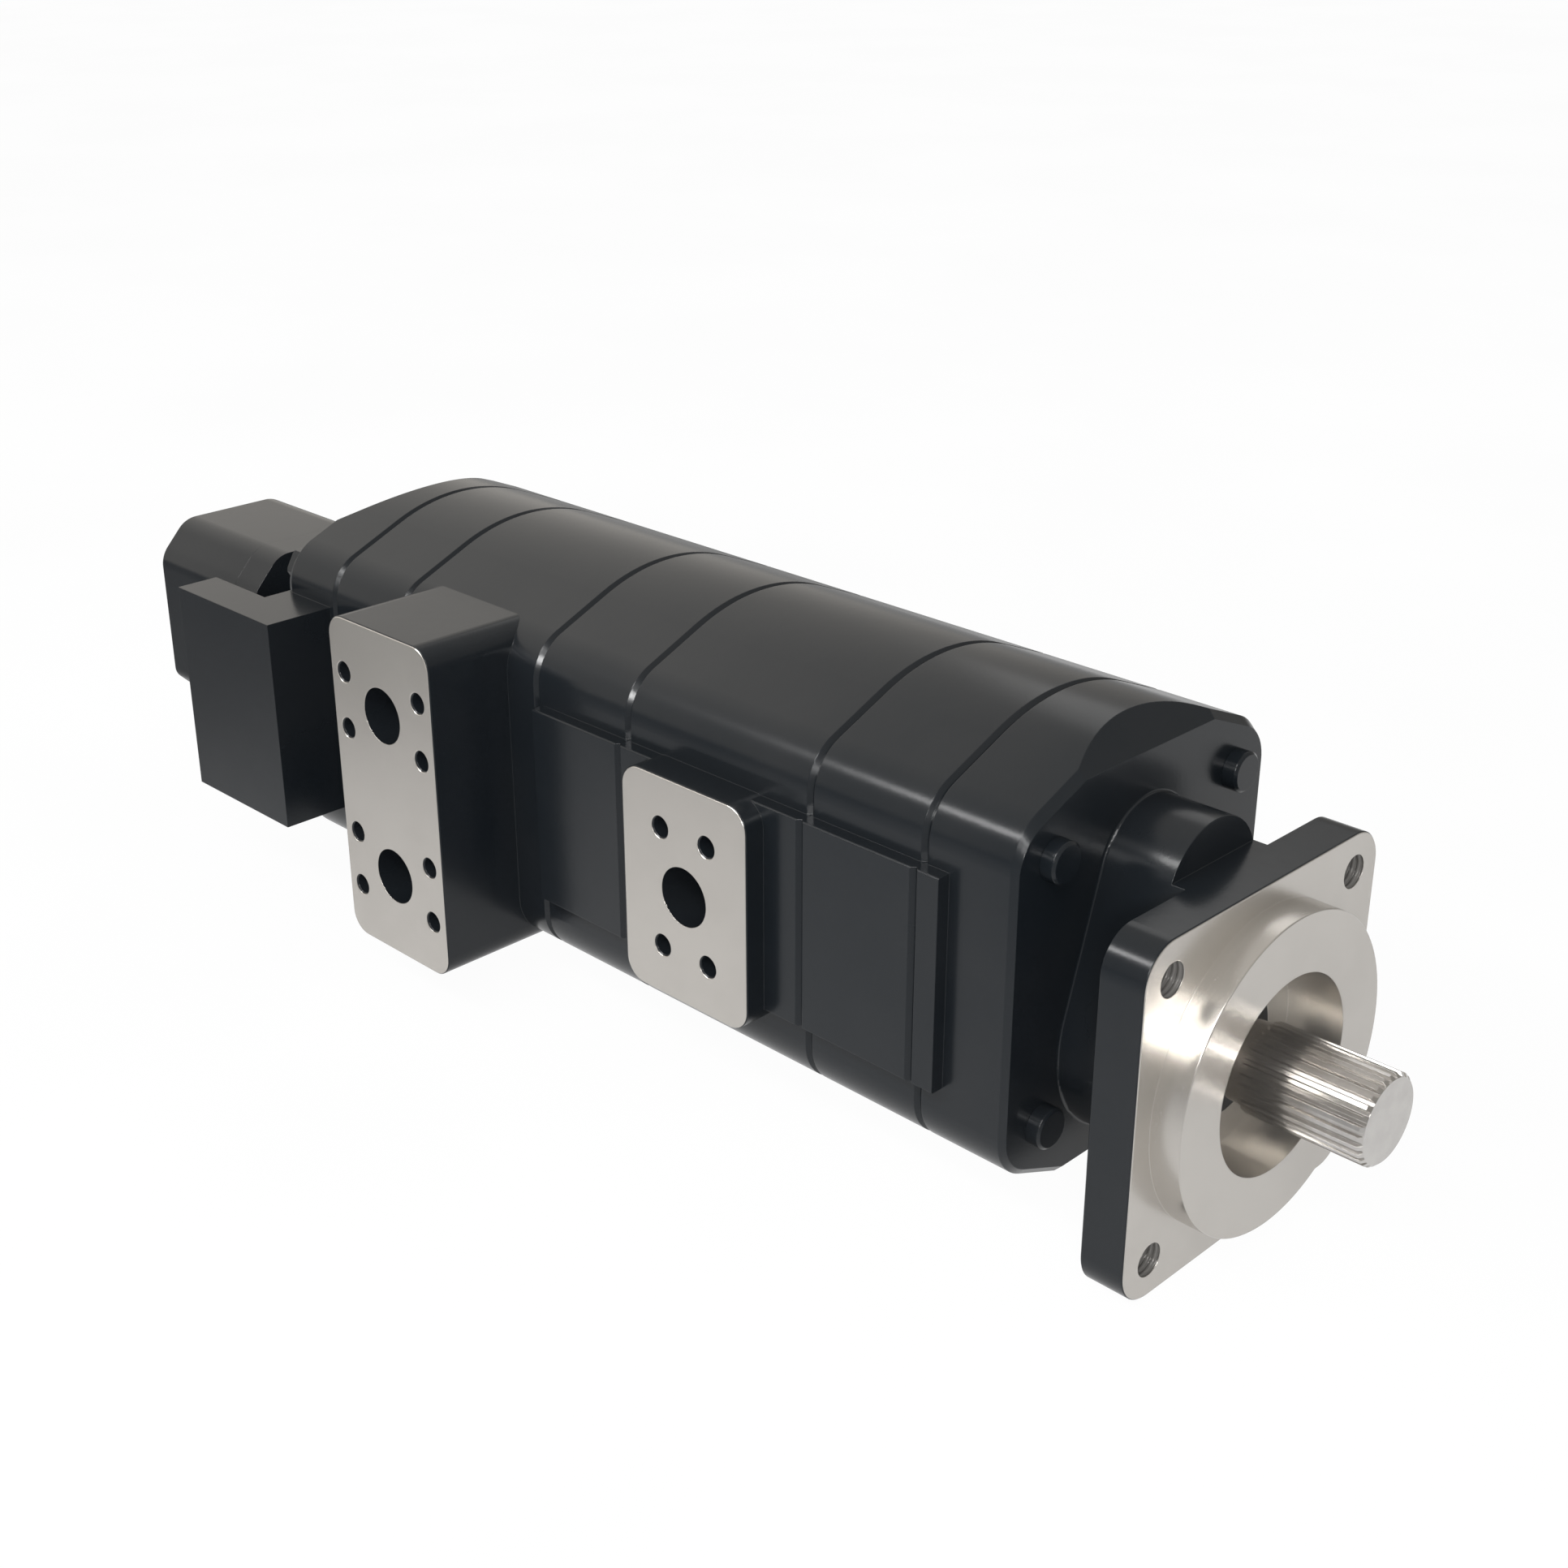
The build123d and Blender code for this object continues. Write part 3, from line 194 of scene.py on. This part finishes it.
def castingMaterial(name, bareMask=None, turnedAbout=None):
    # black paint, and bare machined metal wherever bareMask(g, x, y, z) is 1
    g = Graph(name)
    vector, x, y, z = objectPlace(g)
    look = paintLook
    slow = g.noise(vector, look["cloudScale"], 4.0)
    patches = g.noise(vector, look["patchScale"], 5.0, 0.6)
    peel = g.noise(vector, 1.0 / look["peelSize"], 2.0, 0.5)
    wave = g.noise(vector, 1.0 / look["castSize"], 2.0, 0.5)
    rounded, edge = edgeMask(g, look["edgeRadius"])
    # painted edge highlight: the coat turns lighter along convex and concave edges, broken up by noise
    edgeBreakup = g.ramp(g.noise(vector, look["edgeBreakupScale"], 4.0, 0.7), 0.48, 0.66)
    edgeHighlight = g.math("MULTIPLY", g.math("MULTIPLY", edge, edgeBreakup), look["edgeHighlightShare"])
    coat = g.mix(g.ramp(slow, 0.35, 0.68), look["colour"], look["dullColour"])
    coat = g.mix(edgeHighlight, coat, look["edgeHighlightColour"])
    coatRoughness = g.math("MULTIPLY_ADD", g.math("SUBTRACT", patches, 0.5), look["roughnessSpread"])
    coatRoughness.node.inputs[2].default_value = look["roughness"]
    normal = g.bump(wave, 1.0, look["castHeight"], rounded)
    normal = g.bump(peel, 1.0, look["peelHeight"], normal)
    if bareMask is None:
        return g.finish(Base_Color=coat, Roughness=coatRoughness, Normal=normal,
                        Specular_IOR_Level=look["specular"])
    bare = bareMask(g, x, y, z)
    grain = g.noise(vector, 1.0 / bareLook["grainSize"], 2.0, 0.6)
    cloud = g.noise(vector, bareLook["cloudScale"], 4.0, 0.6)
    across = turnedAbout(g, x, y, z) if turnedAbout else z
    tool = g.math("SINE", g.math("MULTIPLY", across, 2 * math.pi / bareLook["toolPitch"]))
    metal = g.mix(g.ramp(cloud, 0.38, 0.72), bareLook["colour"], bareLook["stainColour"])
    metalRoughness = g.math("MULTIPLY_ADD", g.math("SUBTRACT", grain, 0.5), bareLook["grainSpread"])
    metalRoughness.node.inputs[2].default_value = bareLook["roughness"]
    metalNormal = g.bump(tool, 1.0, bareLook["toolHeight"], rounded)
    metalNormal = g.bump(grain, 1.0, bareLook["grainHeight"], metalNormal)
    bareNormal = g.add("Mix", data_type="VECTOR")
    g.give(bareNormal.inputs[0], bare)
    g.give(bareNormal.inputs[4], normal)
    g.give(bareNormal.inputs[5], metalNormal)
    return g.finish(Base_Color=g.mix(bare, coat, metal),
                    Metallic=g.math("MULTIPLY", bare, bareLook["metallic"]),
                    Roughness=g.blend(bare, coatRoughness, metalRoughness),
                    Normal=bareNormal.outputs[1], Specular_IOR_Level=look["specular"])


# --- Where each casting is bare ---
flangeCuts = {"holeOffset": 0.05725, "holeRadius": 0.0081, "thickness": 0.0186,
              "recessRadius": 0.0401, "recessDepth": 0.0123,
              "shadedThreadShare": 0.32}              # painted shade: the threads are only partly bare, so they read darker than the face
portPlanes = {"outletOne": 0.0905, "doubleOutlet": 0.1158, "suction": 0.082}   # out from the drive axis


def flangeBare(g, x, y, z):
    cut = flangeCuts
    face = above(g, x, -edgeSlack)
    holes = allOf(g, [below(g, distance2(g, y, z, cut["holeOffset"], cut["holeOffset"], True),
                            cut["holeRadius"]), above(g, x, -cut["thickness"])])
    recess = allOf(g, [below(g, distance2(g, y, z, 0.0, 0.0), cut["recessRadius"]),
                       above(g, x, -cut["recessDepth"])])
    # painted shade in the bolt holes: their threads are mixed toward the black coat
    return anyOf(g, [face, g.math("MULTIPLY", holes, cut["shadedThreadShare"]), recess])


def portBare(outlet):
    # bare faces of the outlets towards -Y and the suction port towards +Y; their holes stay dark
    def mask(g, x, y, z):
        return anyOf(g, [below(g, y, edgeSlack - portPlanes[outlet]),
                         above(g, y, portPlanes["suction"] - edgeSlack)])
    return mask


def aboutShaft(g, x, y, z):
    return distance2(g, y, z, 0.0, 0.0)


paint = castingMaterial("blackPaint")
flangePaint = castingMaterial("blackPaintBareFlange", flangeBare, aboutShaft)
frontPortPaint = castingMaterial("blackPaintFrontPorts", portBare("outletOne"))
rearPortPaint = castingMaterial("blackPaintRearPorts", portBare("doubleOutlet"))


rearPorts = {"x": -0.624, "z": 0.01875, "radius": 0.0161, "deepest": 0.030, "face": 0.0448}


def rearPumpBare(g, x, y, z):
    # the spot faces round the small ports on both sides
    port = rearPorts
    spot = below(g, distance2(g, x, z, port["x"], port["z"]), port["radius"])
    out = g.math("ABSOLUTE", y)
    return allOf(g, [spot, above(g, out, port["deepest"]), below(g, out, port["face"])])


rearBodyPaint = castingMaterial("blackPaintRearPump", rearPumpBare)


# --- Steel, bronze and rubber ---
steelLook = {"colour": rgb(0.66, 0.64, 0.615), "shade": rgb(0.58, 0.56, 0.54), "roughness": 0.20,
             "grainSize": 0.0004, "grainHeight": 0.000004, "drawSize": 0.0022, "spread": 0.06}
oxideLook = {"colour": rgb(0.055, 0.056, 0.060), "shade": rgb(0.085, 0.082, 0.080), "roughness": 0.40,
             "grainSize": 0.0007, "grainHeight": 0.000010, "drawSize": 0.0030, "spread": 0.10}
bronzeLook = {"colour": rgb(0.60, 0.40, 0.19), "shade": rgb(0.47, 0.30, 0.14), "roughness": 0.33,
              "grainSize": 0.0006, "grainHeight": 0.000008, "drawSize": 0.0030, "spread": 0.10}
rubberLook = {"colour": rgb(0.016, 0.016, 0.017), "shade": rgb(0.026, 0.026, 0.027), "roughness": 0.55,
              "grainSize": 0.0008, "grainHeight": 0.000016, "drawSize": 0.0040, "spread": 0.10}


turnedLook = {"aroundScale": 40.0, "cloudScale": 55.0, "cloudShare": 0.6,
              "edgeRadius": 0.00015, "edgePolish": 0.05}


def turnedMaterial(name, look, metallic):
    # worked surface: cloudy colour, streaks round the shaft axis, fine grain and softened edges
    g = Graph(name)
    vector, x, y, z = objectPlace(g)
    drawn = (1.0 / look["drawSize"], turnedLook["aroundScale"], turnedLook["aroundScale"])
    stretched = g.add("Mapping", {"Vector": vector, "Scale": drawn}).outputs[0]
    streak = g.noise(stretched, 1.0, 3.0, 0.6)
    grain = g.noise(vector, 1.0 / look["grainSize"], 2.0, 0.6)
    cloud = g.noise(vector, turnedLook["cloudScale"], 4.0, 0.6)
    rounded, edge = edgeMask(g, turnedLook["edgeRadius"])
    tone = g.math("ADD", g.math("MULTIPLY", cloud, turnedLook["cloudShare"]),
                  g.math("MULTIPLY", streak, 1.0 - turnedLook["cloudShare"]))
    colour = g.mix(g.ramp(tone, 0.36, 0.66), look["colour"], look["shade"])
    roughness = g.math("MULTIPLY_ADD", g.math("SUBTRACT", streak, 0.5), look["spread"])
    roughness.node.inputs[2].default_value = look["roughness"]
    roughness = g.math("SUBTRACT", roughness, g.math("MULTIPLY", edge, turnedLook["edgePolish"]))
    normal = g.bump(grain, 1.0, look["grainHeight"], rounded)
    return g.finish(Base_Color=colour, Metallic=metallic, Roughness=roughness, Normal=normal)


steel = turnedMaterial("brightSteel", steelLook, 0.97)
oxide = turnedMaterial("blackOxideSteel", oxideLook, 0.85)
bronze = turnedMaterial("bearingBronze", bronzeLook, 1.0)
rubber = turnedMaterial("sealRubber", rubberLook, 0.0)
ownMaterials = {
    "front_cover": flangePaint,
    "bearing_carrier_1": frontPortPaint,
    "bearing_carrier_2": rearPortPaint,
    "rear_pump_body": rearBodyPaint,
    "drive_shaft": steel,
}
slotMaterials = {"black_casting": paint, "black_steel": paint, "dark_steel": oxide,
                 "gear_steel": steel, "bearing_bronze": bronze, "seal_rubber": rubber}
nodeSlots = {}
for part in frame["record"]["subparts"]:
    nodeSlots[part.get("node") or part.get("name")] = part.get("material_slot") or part.get("material")
for name, node in nodes.items():
    chosen = ownMaterials.get(name) or slotMaterials[nodeSlots[name]]
    if not node.material_slots:
        node.data.materials.append(chosen)
    for slot in node.material_slots:
        slot.material = chosen
print("materials given to", len(nodes), "nodes")


# --- Floor, light and camera ---
floorLook = {"half": 8.0, "gap": 0.0005, "colour": rgb(0.86, 0.86, 0.86),
             "whiteShare": 0.97, "white": 1.0,          # seen directly: white with a soft shadow
             "nearGloss": 0.785, "farGloss": 0.33,      # how bright polished faces see it, near and far
             "nearPlace": -0.12, "farPlace": -0.58, "slant": 0.32, "slantFrom": -0.30,
             "behindFrom": -0.52, "behindTo": -0.80, "behind": 0.46,   # darker again behind the pump
             "glossShare": 0.9}
skyLook = {"colour": rgb(1.0, 1.0, 1.0), "warmColour": rgb(1.0, 0.955, 0.89), "light": 0.50,
           "glossLow": 0.72, "glossHigh": 1.25, "lowSine": 0.35, "highSine": 1.0,
           "frontShare": 0.40, "rearShare": 1.22,     # polished faces see more light towards the rear
           "frontSine": -0.40, "rearSine": -0.82}
# place and aim in metres, size as long and short side, watts
lamps = {
    "longSoftbox": {"place": (-0.16, -0.90, 1.00), "aim": (-0.22, 0.0, 0.05),
                    "size": (1.85, 0.20), "watts": 15.0},
    "backSoftbox": {"place": (-0.70, 1.60, 1.45), "aim": (-0.30, 0.0, 0.05),
                    "size": (1.6, 0.9), "watts": 3.6},
    "frontSoftbox": {"place": (0.88, -1.16, 0.66), "aim": (0.0, -0.05, 0.03),
                    "size": (0.32, 0.32), "watts": 13.0},
}
cameraView = {"place": (0.35511, -0.60220, 0.41508), "toward": (-0.64151, 0.64890, -0.40914),
              "lens": 49.72, "sensor": 36.0}


def makeFloor():
    look = floorLook
    half = look["half"]
    z = cadBox[0].z - look["gap"]
    corners = [(-half, -half, z), (half, -half, z), (half, half, z), (-half, half, z)]
    mesh = bpy.data.meshes.new("floor")
    mesh.from_pydata(corners, [], [(0, 1, 2, 3)])
    floor = bpy.data.objects.new("floor", mesh)
    bpy.context.scene.collection.objects.link(floor)
    g = Graph("paleFloor")
    vector, x, y, z = objectPlace(g)
    grain = g.ramp(g.noise(vector, 3.0), 0.3, 0.7, 0.99, 1.0)
    aside = g.math("ABSOLUTE", g.math("SUBTRACT", x, look["slantFrom"]))
    aside = g.math("MULTIPLY", aside, -look["slant"])
    gloss = g.ramp(g.math("ADD", y, aside), look["farPlace"], look["nearPlace"],
                   look["farGloss"], look["nearGloss"])
    behind = g.ramp(x, look["behindTo"], look["behindFrom"], look["behind"], 1.0)
    gloss = g.math("MULTIPLY", gloss, behind)
    path = g.add("LightPath")
    direct = g.math("MAXIMUM", path.outputs["Is Camera Ray"], path.outputs["Is Transmission Ray"])
    inGloss = path.outputs["Is Glossy Ray"]
    share = g.math("MAXIMUM", g.math("MULTIPLY", direct, look["whiteShare"]),
                   g.math("MULTIPLY", inGloss, look["glossShare"]))
    strength = g.blend(inGloss, g.math("MULTIPLY", grain, look["white"]), gloss)
    matt = g.add("BsdfDiffuse", {"Color": look["colour"], "Roughness": 0.4})
    white = g.add("Emission", {"Color": rgb(1.0, 1.0, 1.0), "Strength": strength})
    mixed = g.add("MixShader", {0: share, 1: matt.outputs[0], 2: white.outputs[0]})
    g.add("OutputMaterial", {"Surface": mixed.outputs[0]})
    mesh.materials.append(g.material)


def makeSky():
    look = skyLook
    world = bpy.data.worlds.new("studio")
    g = Graph("studio", world)
    split = g.add("SeparateXYZ", {0: g.add("TexCoord").outputs["Generated"]})
    gloss = g.ramp(split.outputs[2], look["lowSine"], look["highSine"],
                   look["glossLow"], look["glossHigh"])
    share = g.ramp(split.outputs[0], look["rearSine"], look["frontSine"],
                   look["rearShare"], look["frontShare"])
    gloss = g.math("MULTIPLY", gloss, share)
    path = g.add("LightPath")
    direct = g.math("MAXIMUM", path.outputs["Is Camera Ray"], path.outputs["Is Transmission Ray"])
    strength = g.blend(path.outputs["Is Glossy Ray"], look["light"], gloss)
    strength = g.blend(direct, strength, 1.0)
    tint = g.mix(path.outputs["Is Glossy Ray"], look["colour"], look["warmColour"])
    sky = g.add("Background", {"Color": tint, "Strength": strength})
    g.add("OutputWorld", {"Surface": sky.outputs[0]})
    bpy.context.scene.world = world


def makeLamps():
    for name, look in lamps.items():
        data = bpy.data.lights.new(name, "AREA")
        data.shape = "RECTANGLE"
        data.size, data.size_y = look["size"]
        data.energy = look["watts"]
        lamp = bpy.data.objects.new(name, data)
        lamp.location = look["place"]
        aim = Vector(look["aim"]) - Vector(look["place"])
        lamp.rotation_mode = "QUATERNION"
        lamp.rotation_quaternion = aim.to_track_quat("-Z", "Y")
        bpy.context.scene.collection.objects.link(lamp)


def makeCamera():
    data = bpy.data.cameras.new("camera")
    data.lens = cameraView["lens"]
    data.sensor_width = cameraView["sensor"]
    data.clip_start = 0.01
    data.clip_end = 50.0
    camera = bpy.data.objects.new("camera", data)
    camera.location = cameraView["place"]
    camera.rotation_mode = "QUATERNION"
    camera.rotation_quaternion = Vector(cameraView["toward"]).to_track_quat("-Z", "Y")
    bpy.context.scene.collection.objects.link(camera)
    bpy.context.scene.camera = camera


makeFloor()
makeSky()
makeLamps()
makeCamera()
bpy.context.scene.view_settings.view_transform = "Standard"
print("floor, light and camera ready")
